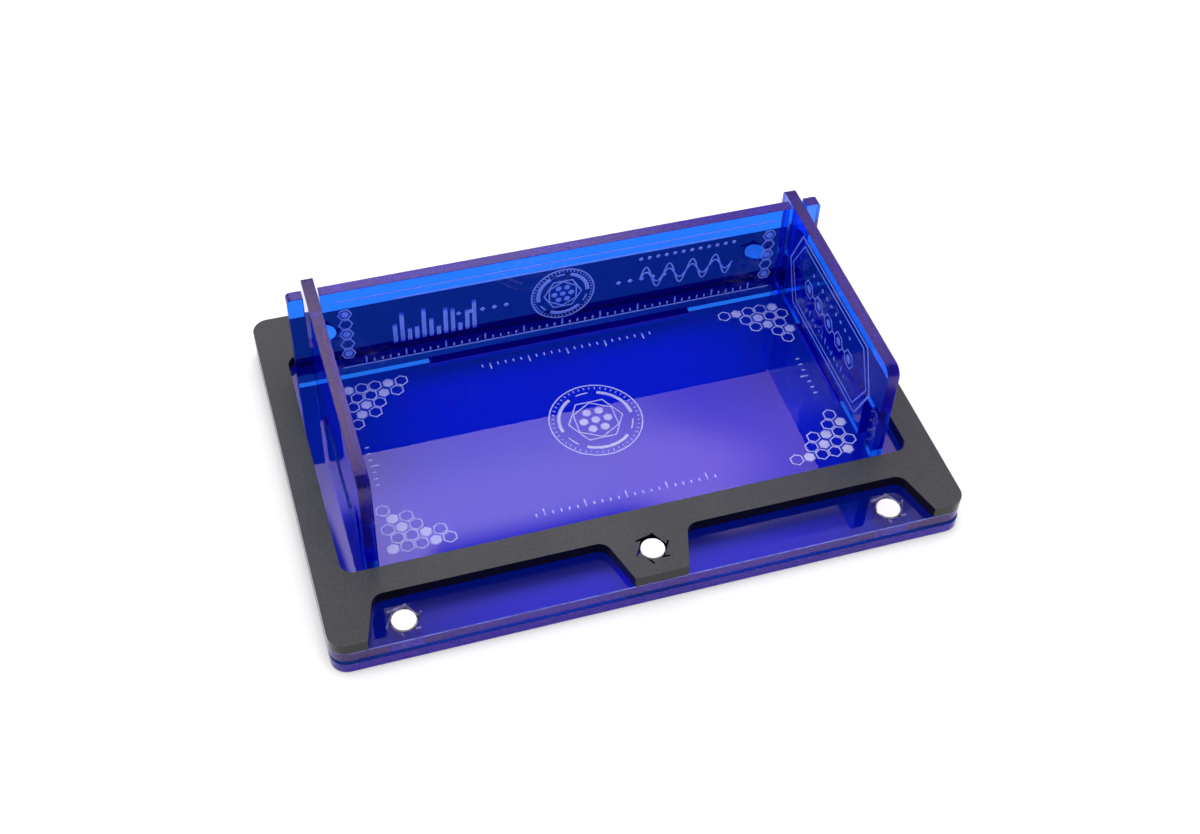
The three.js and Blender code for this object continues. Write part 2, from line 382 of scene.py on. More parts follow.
class TrayAcrylic(bpy.types.PropertyGroup):
    """Sizes and colours of the acrylic sheets."""

    air_gap: a_length("Air gap", "How far each sheet's faces draw in from its neighbours", 0.00002)
    edge_break: a_length("Edge break", "Width of the chamfer along each cut edge", 0.00008)
    plate_break: a_length("Plate break", "Width of the chamfer along the plates' edges", 0.00015)
    inner_break: a_share("Inner break", "Share of the chamfer that slots and pockets get", 0.15)
    blue_absorbed: a_colour("Blue kept", "Colour that the blue sheet keeps", (0.36, 0.73, 0.989))
    blue_density: an_amount("Blue density", "How fast the blue sheet takes up light", 1850.0)
    refraction: an_amount("Refraction", "Refractive index", 1.49, 1.0)
    blue_glint: a_colour("Blue glint", "Tint of the gloss on the blue sheet", (1.0, 0.77, 1.0))
    cut_glint: a_colour("Cut glint", "Tint of the gloss on its cut edges", (1.0, 0.62, 1.0))
    # Painted shade: a dimmer gloss on the bottom plate's edge.
    shaded_glint: a_share("Shaded glint", "Share of that gloss on the bottom plate's edge", 0.6)
    cut_roughness: a_share("Cut roughness", "Roughness of a laser-cut edge", 0.15)
    # Painted glow: emission that stands in for light scattered in the sheets. Its shaded share and its fade
    # at a wall's foot are painted shade.
    painted_glow: a_share("Haze", "Glow of light scattered in the floor plate, in the open", 0.108)
    painted_glow_shaded: a_share("Haze shaded", "Share of it in the shade and in the bottom plate", 0.12)
    wall_painted_glow: a_share("Wall haze", "The same glow in the walls", 0.05)
    painted_glow_foot: a_length("Haze foot", "Height below which a wall's glow fades out", 0.017)
    painted_glow_colour: a_colour("Haze colour", "Colour of these glows", (0.01, 0.0, 1.0))
    cut_painted_glow: a_share("Cut haze", "Glow of light scattered at the plates' cut edges", 0.07)
    cut_painted_glow_colour: a_colour("Cut haze colour", "Colour of that glow", (0.16, 0.0, 1.0))
    # Painted highlights: pale frosted finishes on the floor plate's upward chamfers and on its pocket
    # walls.
    rim_highlight_colour: a_colour("Rim colour", "Colour of the floor plate's broken edge", (0.25, 0.3, 1.0))
    pocket_highlight_colour: a_colour("Pocket colour", "Colour of the pockets' walls", (0.7, 0.64, 1.0))
    black_face: a_colour("Black face", "Colour of the satin black sheet", (0.054, 0.054, 0.061))
    black_cut: a_colour("Black cut", "Colour of the black sheet's cut edges", (0.004, 0.004, 0.005))
    bond_colour: a_colour("Bond colour", "Lightest colour of the bond", (0.01, 0.01, 0.012))
    bond_depth: a_length("Bond depth", "How far the bond bites into the floor plate", 0.00004)


class TrayEngraving(bpy.types.PropertyGroup):
    """Sizes and colours of the engraved marks."""

    margin: a_length("Margin", "Distance from the marks to the sheets around them", 0.004)
    relief: a_length("Relief", "How far the marks stand proud of the drawn-in face", 0.00004)
    line: a_length("Line", "Width of a scored line", 0.00045)
    hairline: a_length("Hairline", "Width of the finest scored line", 0.0003)
    band: a_length("Band", "Width of a frosted band", 0.0011)
    cell: a_length("Cell", "Distance between the honeycomb's cells", 0.0033)
    tick: a_length("Tick", "Distance between the rulers' ticks", 0.002)
    dial: a_length("Dial", "Radius of the floor's dial", 0.0114)
    frost: a_colour("Frost", "Colour of the floor's frosted marks", (0.84, 0.79, 0.94))
    score: a_colour("Score", "Colour of the walls' marks", (0.2, 0.34, 1.0))
    rim: a_colour("Rim", "Colour of the marks' sloped rims", (0.52, 0.56, 1.0))
    # Painted glow of the marks: light of their own.
    glow: a_colour("Glow", "Colour of the light that leaves the sheet at a mark", (0.06, 0.14, 1.0))
    glow_strength: a_share("Glow strength", "Strength of that light", 0.18)
    cover: a_share("Cover", "Share of each face of a mark that is solid to light", 0.7)


class TrayMagnets(bpy.types.PropertyGroup):
    """Finish of the plated magnets."""

    nickel: a_colour("Nickel", "Colour of the plating", (0.93, 0.92, 0.9))
    roughness: a_share("Roughness", "Roughness of the plating", 0.22)


class TrayStage(bpy.types.PropertyGroup):
    """Floor, light and camera."""

    floor_width: a_length("Floor width", "Side of the square floor", 6.0)
    floor_colour: a_colour("Floor colour", "Colour of the floor", (0.92, 0.92, 0.92))
    floor_glow: a_share("Floor glow", "White that the floor adds where it is seen", 0.3)
    floor_glow_through: a_share("Glow through", "Share of it seen through the acrylic", 0.12)
    contact_reach: a_length("Contact reach", "Width of the shadow where the tray stands", 0.0025)
    contact_shade: a_colour("Contact shade", "The floor's glow close to the tray", (0.35, 0.35, 0.1))
    sky: an_amount("Sky", "Strength of the even white surroundings", 1.0)
    sky_mirrored: a_share("Sky mirrored", "Share of them mirrored from above and in front", 0.2)
    card: an_amount("Card", "Strength of the light card behind the tray", 3.95)
    card_violet: a_colour("Card violet", "Tint of the card's lower right part", (1.0, 0.8, 1.0))
    camera_place: a_place("Camera place", "Where the camera stands", (-0.08853, -0.25493, 0.30663))
    camera_aim: a_place("Camera aim", "The middle of the picture", (0.00031, -0.00268, 0.0093))
    camera_roll: FloatProperty(
        name="Camera roll",
        description="Turn about the line of sight",
        default=math.radians(2.873),
        subtype="ANGLE",
    )
    camera_lens: an_amount("Lens", "Focal length in millimetres", 49.734)


def floor_glow(finish):
    """Where the floor plate's painted glow is strongest: in the middle of the well and of the notches, with
    painted shade towards the black frame.
    """
    x, y, _ = finish.parts(finish.place)
    fade = finish.fade
    wider = fade(y, "wider_back") * fade(y, "wider_front")
    across = fade(x + wider, "glow_left") * fade(x - wider, "glow_right")
    well = fade(y, "well_front") * fade(y, "well_back")
    notches = fade(y, "notch_back") * fade(y, "notch_front")
    return across * (well + notches)


def blue_acrylic(name, axis, cut, looks, shaded=False):
    """Clear blue sheet whose thickness runs along axis: its polished face, or its laser-cut edge."""
    finish = Finish(name)
    values = {"Base Color": opaque(WHITE), "Transmission Weight": 1.0, "IOR": looks.refraction}
    if cut:
        along = [1.0 if letter == axis else 0.003 for letter in AXES]
        bands = finish.noise(1500.0, detail=2.0, roughness=0.5, stretch=along)
        smooth, rough = looks.cut_roughness, looks.cut_roughness * 1.3
        values |= {
            "Roughness": finish.between(bands, 0.3, 0.7, smooth, rough),
            "Normal": finish.bump(bands, distance=0.000003),
            # Painted shade: the bottom plate's edge keeps only a share of the gloss.
            "Specular Tint": opaque(looks.cut_glint, looks.shaded_glint if shaded else 1.0),
            # Painted glow along the plates' cut edges.
            "Emission Color": opaque(looks.cut_painted_glow_colour),
            "Emission Strength": looks.cut_painted_glow if axis == "Z" else 0.0,
        }
    else:
        smudges = finish.noise(60.0, detail=4.0)
        streaks = finish.noise(900.0, stretch=(0.02, 1.0, 1.0))
        values |= {
            "Roughness": finish.between(smudges, 0.5, 0.8, 0.0, 0.02),
            "Normal": finish.bump(streaks, distance=0.0000008),
            "Specular Tint": opaque(looks.blue_glint),
        }
        # Painted glow in the sheet: a weak share in the bottom plate, which is painted shade, and the
        # strongest glow in the floor plate's open middle.
        if shaded:
            values["Emission Color"] = opaque(looks.painted_glow_colour)
            values["Emission Strength"] = looks.painted_glow * looks.painted_glow_shaded
        elif axis == "Z":
            glow = floor_glow(finish)
            values["Emission Color"] = finish.shades(glow, looks.painted_glow_colour, looks.painted_glow_shaded)
            values["Emission Strength"] = looks.painted_glow
        else:
            # Painted shade: the wall's painted glow fades out towards its foot, beside the black frame.
            height = finish.parts(finish.place)[2]
            rise = finish.between(height, 0.7 * looks.painted_glow_foot, looks.painted_glow_foot)
            values["Emission Color"] = finish.shades(rise, looks.painted_glow_colour, 0.0)
            values["Emission Strength"] = looks.wall_painted_glow
    return finish.shine(values, {"Color": opaque(looks.blue_absorbed), "Density": looks.blue_density})


def frosted(name, colour, looks):
    """Frosted acrylic in pale colours, painted highlights: a plate's upward chamfer, and the walls of its
    magnet pockets.
    """
    finish = Finish(name)
    chips = finish.noise(700.0)
    values = {
        "Base Color": finish.shades(finish.between(chips, 0.35, 0.65), colour, 0.5),
        "Roughness": 0.4,
        "Specular Tint": opaque(looks.cut_glint),
    }
    return finish.shine(values)


def black_acrylic(name, cut, looks):
    """Satin black sheet, or its glossier cut edge."""
    finish = Finish(name)
    cloud = finish.noise(45.0, detail=4.0)
    if cut:
        bands = finish.noise(3000.0, detail=2.0, roughness=0.5, stretch=(1.0, 1.0, 0.05))
        values = {
            "Base Color": opaque(looks.black_cut),
            "Roughness": finish.between(cloud, 0.3, 0.7, 0.12, 0.2),
            "Specular IOR Level": 0.3,
            "Normal": finish.bump(bands, distance=0.00001),
        }
    else:
        grain = finish.noise(2500.0, roughness=0.7)
        values = {
            "Base Color": finish.shades(finish.between(grain, 0.35, 0.65), looks.black_face, 0.7, 1.15),
            "Roughness": finish.between(cloud, 0.3, 0.7, 0.42, 0.52),
            "Normal": finish.bump(grain, distance=0.00001),
        }
    return finish.shine(values)


def nickel_plate(name, looks):
    """Bright nickel plating with faint scuffs."""
    finish = Finish(name)
    scuffs = finish.noise(900.0, detail=4.0, roughness=0.65)
    values = {
        "Base Color": opaque(looks.nickel),
        "Metallic": 1.0,
        "Roughness": finish.between(scuffs, 0.35, 0.7, looks.roughness, looks.roughness * 1.2),
    }
    return finish.shine(values)


def engraved(name, colour, roughness, looks):
    """Frosted acrylic: a milky film with a fine mottle, which the sheet shows through."""
    finish = Finish(name)
    mottle = finish.noise(5200.0, roughness=0.65)
    cloud = finish.noise(260.0)
    blotches = mottle * 0.6 + cloud * 0.4
    thin, thick = 0.8 * looks.cover, 1.25 * looks.cover
    values = {
        "Base Color": finish.shades(finish.between(mottle, 0.3, 0.7), colour, 0.72),
        "Roughness": roughness,
        "Alpha": finish.between(blotches, 0.35, 0.65, thin, thick),
        "Normal": finish.bump(mottle, distance=0.00002),
        # Painted glow: the marks give off light of their own.
        "Emission Color": opaque(looks.glow),
        "Emission Strength": looks.glow_strength,
    }
    return finish.shine(values)


def polar(centre, radius, turn):
    return (centre[0] + radius * math.cos(turn), centre[1] + radius * math.sin(turn))


def regular(centre, radius, sides, first=0.0):
    """The corners of a closed regular outline."""
    corners = [polar(centre, radius, first + FULL_TURN * index / sides) for index in range(sides)]
    return [*corners, corners[0]]


def bend(centre, radius, first, sweep, steps):
    """Points along an open arc."""
    return [polar(centre, radius, first + sweep * index / steps) for index in range(steps + 1)]


def wave(start, length, swing, steps=60, pace=0.42):
    """Points along a wave that starts on its middle line."""
    return [
        (start[0] + length * index / steps, start[1] + swing * math.sin(index * pace))
        for index in range(steps + 1)
    ]


def middle_of(low, high):
    return [(low[axis] + high[axis]) / 2 for axis in range(2)]


class Drawing:
    """Engraved marks drawn on a plane, x to the right and y up, and laid on a sheet's face at the end."""

    def __init__(self, looks):
        self.looks = looks
        self.recipes = {"row": row_recipe(), "ring": ring_recipe(), "line": line_recipe()}
        finishes = {"frost": (looks.frost, 0.6), "rim": (looks.rim, 0.35), "score": (looks.score, 0.4)}
        self.materials = {
            name: engraved(f"engraved_{name}", colour, roughness, looks)
            for name, (colour, roughness) in finishes.items()
        }
        self.face = "frost"
        self.start()

    def start(self):
        self.shape = bmesh.new()

    def add(self, recipe, values, path=None):
        finishes = {"Face": self.materials[self.face], "Rim": self.materials["rim"]}
        made = self.recipes[recipe].run({**values, **finishes}, path)
        known = len(self.shape.faces)
        order = list(self.materials.values())
        numbers = {slot: order.index(kept) for slot, kept in enumerate(made.materials) if kept}
        self.shape.from_mesh(made)
        self.shape.faces.ensure_lookup_table()
        for face in self.shape.faces[known:]:
            face.material_index = numbers[face.material_index]
        bpy.data.meshes.remove(made)

    def size(self, width, height):
        return (width / 2, (height or width) / 2, self.looks.relief)

    def row(self, count, start, step, width, height=None, sides=4, turn=0.0):
        """Studs in a row, as high as they are wide if no height is given."""
        values = {"Count": count, "Start": (*start, 0.0), "Step": (*step, 0.0), "Turn": turn}
        self.add("row", {**values, "Sides": sides, "Size": self.size(width, height)})

    def ring(self, count, centre, radius, width, height=None, sides=4):
        """Studs round a circle: their width lies along the radius."""
        sweep = FULL_TURN * (count - 1) / count
        values = {"Count": count, "Centre": (*centre, 0.0), "Radius": radius, "Sweep": sweep}
        self.add("ring", {**values, "Sides": sides, "Size": self.size(width, height)})

    def lines(self, paths, width=None):
        """Strips along paths, scored lines by default. A path that ends where it starts is closed."""
        path = bpy.data.meshes.new("paths")
        corners, edges = [], []
        for points in paths:
            closed = points[0] == points[-1]
            first = len(corners)
            corners += [(*point, 0.0) for point in (points[:-1] if closed else points)]
            edges += [(index, index + 1) for index in range(first, len(corners) - 1)]
            if closed:
                edges.append((len(corners) - 1, first))
        path.from_pydata(corners, edges, [])
        self.add("line", {"Width": width or self.looks.line, "Relief": self.looks.relief}, path)

    def lay(self, name, node, place):
        """Lays the marks on a face, as a piece that moves with that face's body."""
        self.shape.transform(place)
        bmesh.ops.recalc_face_normals(self.shape, faces=self.shape.faces)
        piece = new_object(name, mesh_of(self.shape, name, self.materials.values()))
        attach(piece, BODY_OF[node])
        self.start()


def draw_ruler(drawing, middle, half, along, inward):
    """A ruler's ticks on both sides of its middle, every fifth one longer."""
    looks = drawing.looks
    steps = int(half / looks.tick)
    turn = math.atan2(along[1], along[0])
    for every, length in ((1, looks.band), (5, 2 * looks.band)):
        count = steps // every
        reach = count * every * looks.tick
        start = [middle[axis] - reach * along[axis] + length / 2 * inward[axis] for axis in range(2)]
        step = [every * looks.tick * along[axis] for axis in range(2)]
        drawing.row(2 * count + 1, start, step, looks.line, length, turn=turn)


def draw_honeycomb(drawing, corner, toward, rows):
    """A corner of honeycomb that narrows row by row, every third cell filled."""
    cell = drawing.looks.cell
    outlines = []
    for row in range(rows):
        columns = rows - row
        y = corner[1] + toward[1] * row * ROW_RISE * cell
        first = corner[0] + toward[0] * row % 2 * cell / 2
        for column in range(columns):
            if (column + row) % 3:
                centre = (first + toward[0] * column * cell, y)
                outlines.append(regular(centre, cell * 0.5, 6, POINT_UP))
        filled = range((-row) % 3, columns, 3)
        if filled:
            start = (first + toward[0] * filled[0] * cell, y)
            step = (toward[0] * 3 * cell, 0.0)
            drawing.row(len(filled), start, step, cell * 0.86, sides=6)
    drawing.lines(outlines)


def draw_dial(drawing, centre, radius):
    """A dial: a circle with ticks, three broken bands, nested hexagons and a flower of cells."""
    looks = drawing.looks
    size = {part: radius * share for part, share in DIAL_SHARES.items()}
    circle = regular(centre, radius, CIRCLE_SIDES)
    hexagons = [regular(centre, size["outer"], 6), regular(centre, size["inner"], 6, POINT_UP)]
    drawing.lines([circle, *hexagons])
    drawing.ring(48, centre, size["ticks"], size["tick"], looks.hairline)
    thirds = [third * FULL_TURN / 3 for third in range(3)]
    drawing.lines([bend(centre, size["bands"], turn, FULL_TURN / 5, 20) for turn in thirds], looks.band)
    after = FULL_TURN * 0.24
    gaps = [bend(centre, size["bands"], turn + after, FULL_TURN / 18, 6) for turn in thirds]
    drawing.lines(gaps)
    drawing.ring(6, centre, size["petals"], size["cell"], sides=6)
    drawing.row(1, centre, (0.0, 0.0), size["cell"], sides=6)


def draw_floor(drawing, low, high):
    """The floor's marks: honeycomb in the corners, a ruler along each side and a dial in the middle."""
    middle = middle_of(low, high)
    half = [(high[axis] - low[axis]) / 2 for axis in range(2)]
    side_ruler, long_ruler = half[1] * 0.3, half[0] * 0.4
    for side in (-1, 1):
        edge = [middle[axis] + side * half[axis] for axis in range(2)]
        for end in (-1, 1):
            draw_honeycomb(drawing, (edge[0], middle[1] + end * half[1]), (-side, -end), rows=5)
        draw_ruler(drawing, (edge[0], middle[1]), side_ruler, (0.0, 1.0), (-side, 0.0))
        draw_ruler(drawing, (middle[0], edge[1]), long_ruler, (1.0, 0.0), (0.0, -side))
    draw_dial(drawing, middle, drawing.looks.dial)


def draw_back_wall(drawing, low, high):
    """The back wall's marks: rails, a ruler, bars, a dial, a wave and cells."""
    band, cell, tick = drawing.looks.band, drawing.looks.cell, drawing.looks.tick
    width, height = high[0] - low[0], high[1] - low[1]
    middle = middle_of(low, high)
    inset, ruler_half, dots_from, wave_from = (width * share for share in (0.12, 0.46, 0.13, 0.32))
    rails = [[(low[0], y), (high[0], y)] for y in (low[1], high[1])]
    inner = [(x, high[1] - band * 2) for x in (low[0] + inset, high[0] - inset)]
    drawing.lines([*rails, inner])
    draw_ruler(drawing, (middle[0], low[1] + drawing.looks.line), ruler_half, (1.0, 0.0), (0.0, 1.0))
    draw_dial(drawing, middle, height * 0.36)
    for side in (-1, 1):
        end = (middle[0] + side * (width / 2 - cell / 2), low[1] + cell * 1.4)
        column = [(end[0], end[1] + row * cell) for row in range(5)]
        drawing.lines([regular(place, cell * 0.5, 6) for place in column])
        drawing.row(3, end, (0.0, 2 * cell), cell * 0.6, sides=6, turn=POINT_UP)
        start = (middle[0] + side * dots_from, middle[1])
        drawing.row(5, start, (side * tick * 1.5, 0.0), band, turn=DIAMOND)
    draw_bars(drawing, (low[0] + inset, low[1] + height * 0.24), height)
    start = (high[0] - wave_from, middle[1])
    drawing.lines([wave(start, width * 0.22, height * swing) for swing in (0.08, 0.16)])
    start = (high[0] - wave_from, high[1] - height * 0.2)
    drawing.row(12, start, (width * 0.02, 0.0), band, sides=16)


def draw_bars(drawing, foot, height, count=12, least=0.12, swing=0.16, pace=1.9):
    """Upright bars on one line, each a changing share of a height."""
    band, tick = drawing.looks.band, drawing.looks.tick
    for index in range(count):
        tall = height * (least + swing * (1 + math.sin(index * pace)))
        place = (foot[0] + index * tick * 0.9, foot[1] + tall / 2)
        drawing.row(1, place, (0.0, 0.0), band, tall)


def draw_side_wall(drawing, low, high):
    """A side wall's marks: a long six-sided frame round a chain of cells, with a ruler under it."""
    looks = drawing.looks
    height = high[1] - low[1]
    middle = middle_of(low, high)
    nose = height * 0.22
    frames = []
    for inset in (0.0, looks.band * 1.6):
        left, right = low[0] + inset, high[0] - inset
        foot, top = low[1] + inset, high[1] - inset
        upper = [(left, middle[1]), (left + nose, top), (right - nose, top), (right, middle[1])]
        frames.append([*upper, (right - nose, foot), (left + nose, foot), upper[0]])
    drawing.lines(frames[:1], looks.band * 0.6)
    drawing.lines(frames[1:])
    pitch, reach, filled = (looks.cell * share for share in (1.9, 0.75, 0.7))
    places = [(middle[0] + (index - 2) * pitch, middle[1]) for index in range(5)]
    drawing.lines([regular(place, reach, 6) for place in places])
    drawing.row(5, places[0], (pitch, 0.0), filled, sides=6, turn=POINT_UP)
    links = [[(place[0] + reach, place[1]), (place[0] + pitch - reach, place[1])] for place in places[:-1]]
    drawing.lines(links)
    draw_ruler(drawing, (middle[0], low[1] + height * 0.18), height * 0.55, (1.0, 0.0), (0.0, 1.0))
    step = looks.tick * 1.4
    start = (middle[0] - 4 * step, high[1] - height * 0.24)
    drawing.row(9, start, (step, 0.0), looks.band * 0.8, turn=DIAMOND)


def new_object(name, data):
    made = bpy.data.objects.new(name, data)
    bpy.context.scene.collection.objects.link(made)
    return made


def rectangle(name, corners):
    mesh = bpy.data.meshes.new(name)
    mesh.from_pydata(corners, [], [(0, 1, 2, 3)])
    return mesh


def mesh_of(shape, name, materials):
    """The mesh of a finished shape, with its materials."""
    mesh = bpy.data.meshes.new(name)
    shape.to_mesh(mesh)
    shape.free()
    for material in materials:
        mesh.materials.append(material)
    return mesh


def merged_copy(node):
    """A CAD node's mesh as one closed shape with flat faces, ready to be edged."""
    source = frame["nodes"][node].data
    bare = bpy.data.meshes.new(node)
    bare.from_pydata([vert.co for vert in source.vertices], [], [face.vertices for face in source.polygons])
    shape = bmesh.new()
    shape.from_mesh(bare)
    bpy.data.meshes.remove(bare)
    bmesh.ops.remove_doubles(shape, verts=shape.verts, dist=SAME_PLACE)
    bmesh.ops.dissolve_limit(
        shape, angle_limit=FLAT, use_dissolve_boundaries=False, verts=shape.verts, edges=shape.edges
    )
    return shape


def draw_in(shape, gap):
    """Moves every flat face of a closed shape inwards by the gap."""
    shape.normal_update()
    moves = {}
    for vert in shape.verts:
        normals = []
        for face in vert.link_faces:
            if all(face.normal.dot(known) < SAME_WAY for known in normals):
                normals.append(face.normal.copy())
        moves[vert] = corner_shift(normals)
    for vert, move in moves.items():
        vert.co -= gap * move


def corner_shift(normals):
    """The shift that moves each of the planes through a corner out by one."""
    if len(normals) < 3:
        total = sum(normals, Vector())
        return total / max(total.dot(normals[0]), LEAST_LEAN)

    def squareness(normal):
        return min(abs(normal.dot(other)) for other in normals if other != normal)

    upright = max(normals, key=squareness)
    sides = [normal for normal in normals if abs(normal.dot(upright)) < 0.5]
    if not sides:
        return upright
    total = sum(sides, Vector())
    return upright + total / max(total.dot(sides[0]), LEAST_LEAN)


def weigh_edges(shape, cut_faces, inner_share):
    """Gives each sharp edge its share of the chamfer: full on the outline, less in slots and pockets."""
    weights = shape.edges.layers.float.new("bevel_weight_edge")
    waiting = [max(cut_faces, key=lambda face: face.calc_center_median().x + face.calc_center_median().y)]
    outline = set(waiting)
    while waiting:
        for edge in waiting.pop().edges:
            fresh = (set(edge.link_faces) & cut_faces) - outline
            outline |= fresh
            waiting += fresh
    for edge in shape.edges:
        if edge.calc_face_angle(0.0) > SHARP:
            edge[weights] = 1.0 if outline & set(edge.link_faces) else inner_share


def highlight_pockets(shape):
    """Gives the walls of the magnet pockets and their slits a frosted finish of their own, pale as a
    painted highlight of the light they catch.
    """
    centres = [sum(map(Vector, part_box(name)), Vector()) / 2 for name in MAGNETS]
    for face in shape.faces:
        middle = face.calc_center_median()
        if face.material_index and any((middle - centre).xy.length < POCKET_REACH for centre in centres):
            face.material_index = POCKET_LOOK


def edged_piece(node, sheet_axis, materials, looks, edge_break):
    """A sheet that stands for a CAD node: drawn in, its edges broken, its cut edges with their finish."""
    shape = merged_copy(node)
    draw_in(shape, looks.air_gap)
    shape.normal_update()
    axis = Vector([1.0 if letter == sheet_axis else 0.0 for letter in AXES])
    for face in shape.faces:
        face.material_index = FACE_LOOK if abs(face.normal.dot(axis)) > FACE_TILT else CUT_LOOK
    weigh_edges(shape, {face for face in shape.faces if face.material_index}, looks.inner_break)
    if len(materials) > POCKET_LOOK:
        highlight_pockets(shape)
    name = f"{node}_sheet"
    piece = new_object(name, mesh_of(shape, name, materials))
    chamfer = piece.modifiers.new("edge_break", "BEVEL")
    chamfer.width = edge_break
    chamfer.segments = 1
    chamfer.limit_method = "WEIGHT"
    chamfer.material = len(materials) - 1
    bake_modifiers(piece)
    for polygon in piece.data.polygons:
        slope = abs(polygon.normal.dot(axis))
        polygon.use_smooth = slope < FACE_TILT
        # Only an upward chamfer keeps the pale finish, a painted highlight, so the others go back to the
        # cut edge's finish.
        if polygon.material_index > CUT_LOOK and slope > CHAMFER_TILT and polygon.normal.z < UPWARD_TILT:
            polygon.material_index = CUT_LOOK
    piece.data.set_sharp_from_angle(angle=SMOOTH)
    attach(piece, BODY_OF[node])
    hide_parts(node)
    return piece


def bake_modifiers(piece):
    """Turns a piece's modifiers into its plain mesh."""
    graph = bpy.context.evaluated_depsgraph_get()
    made = bpy.data.meshes.new_from_object(piece.evaluated_get(graph))
    piece.modifiers.clear()
    old = piece.data
    piece.data = made
    bpy.data.meshes.remove(old)


class TRAY_OT_blue_sheets(bpy.types.Operator):
    """Make the clear blue plates and walls"""

    bl_idname = "tray.blue_sheets"
    bl_label = "Blue sheets"

    def execute(self, context):
        looks = context.scene.tray_acrylic

        def pair(axis, mark, shaded=False):
            """A sheet's finishes, for its faces and for its cut edges."""
            face = blue_acrylic(f"blue_face_{mark}", axis, False, looks, shaded)
            return [face, blue_acrylic(f"blue_cut_{mark}", axis, True, looks, shaded)]

        finishes = {axis: pair(axis, axis) for axis in AXES}
        # The bottom plate takes shaded copies of the blue finishes: painted shade, with a weaker painted
        # glow and a dimmer gloss.
        below = pair("Z", "shaded", shaded=True)
        rim = frosted("blue_rim", looks.rim_highlight_colour, looks)
        pocket = frosted("blue_pocket", looks.pocket_highlight_colour, looks)
        for node, axis in {**PLATES, **WALLS}.items():
            edge_break = looks.plate_break if axis == "Z" else looks.edge_break
            materials = finishes[axis]
            if node == "floor_plate":
                materials = [*materials, pocket, rim]
            elif node == "bottom_plate":
                materials = below
            piece = edged_piece(node, axis, materials, looks, edge_break)
        return {"FINISHED"}


class TRAY_OT_black_frame(bpy.types.Operator):
    """Make the satin black frame"""

    bl_idname = "tray.black_frame"
    bl_label = "Black frame"

    def execute(self, context):
        looks = context.scene.tray_acrylic
        finishes = (black_acrylic("black_face", False, looks), black_acrylic("black_cut", True, looks))
        piece = edged_piece("top_frame", "Z", finishes, looks, looks.edge_break)
        return {"FINISHED"}


class TRAY_OT_frame_bond(bpy.types.Operator):
    """Bond the black frame to the floor plate"""

    bl_idname = "tray.frame_bond"
    bl_label = "Frame bond"

    def execute(self, context):
        looks = context.scene.tray_acrylic
        low, high = (corner[2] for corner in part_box("top_frame"))
        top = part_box("floor_plate")[1][2] - 2 * looks.air_gap
        shape = merged_copy("top_frame")
        draw_in(shape, 4 * looks.air_gap)
        for vert in shape.verts:
            height_share = (vert.co.z - low) / (high - low)
            vert.co.z = top - looks.bond_depth * (1.0 - height_share)
        finish = Finish("black_bond")
        cloud = finish.noise(200.0, roughness=0.55)
        values = {
            "Base Color": finish.mixed_colours(cloud, opaque(looks.black_cut), opaque(looks.bond_colour)),
            "Roughness": 0.8,
            "Specular IOR Level": 0.1,
        }
        piece = new_object("frame_bond", mesh_of(shape, "frame_bond", [finish.shine(values)]))
        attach(piece, BODY_OF["top_frame"])
        return {"FINISHED"}


class TRAY_OT_engraving(bpy.types.Operator):
    """Engrave the floor and the walls"""

    bl_idname = "tray.engraving"
    bl_label = "Engraving"

    def execute(self, context):
        looks = context.scene.tray_engraving
        gap = context.scene.tray_acrylic.air_gap
        margin = looks.margin
        left, right, back = (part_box(name) for name in ("left_wall", "right_wall", "back_wall"))
        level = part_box("floor_plate")[1][2]
        inner = {"left_wall": left[1][0], "right_wall": right[0][0], "back_wall": back[0][1]}
        ends = (inner["left_wall"] + margin, inner["right_wall"] - margin)
        foot, top = level + margin, back[1][2] - margin * 0.8
        drawing = Drawing(looks)
        draw_floor(drawing, (ends[0], left[0][1] + margin), (ends[1], inner["back_wall"] - margin))
        drawing.lay("floor_engraving", "floor_plate", Matrix.Translation((0.0, 0.0, level - gap)))
        drawing.face = "score"
        draw_back_wall(drawing, (ends[0], foot), (ends[1], top))
        stand = Matrix.Rotation(math.radians(90.0), 4, "X")
        place = Matrix.Translation((0.0, inner["back_wall"] + gap, 0.0))
        drawing.lay("back_wall_engraving", "back_wall", place @ stand)
        front, rear = left[0][1] + margin * 1.6, inner["back_wall"] - margin * 0.6
        for name, side, turn in (("left_wall", -1, 90.0), ("right_wall", 1, -90.0)):
            ends = sorted(side * -y for y in (front, rear))
            draw_side_wall(drawing, (ends[0], foot), (ends[1], top))
            place = Matrix.Translation((inner[name] + side * gap, 0.0, 0.0))
            place @= Matrix.Rotation(math.radians(turn), 4, "Z")
            drawing.lay(f"{name}_engraving", name, place @ stand)
        return {"FINISHED"}


class TRAY_OT_magnets(bpy.types.Operator):
    """Plate the disc magnets"""

    bl_idname = "tray.magnets"
    bl_label = "Magnets"

    def execute(self, context):
        nickel = nickel_plate("nickel", context.scene.tray_magnets)
        for name in MAGNETS:
            node = frame["nodes"][name]
            node.data.materials.clear()
            node.data.materials.append(nickel)
        return {"FINISHED"}


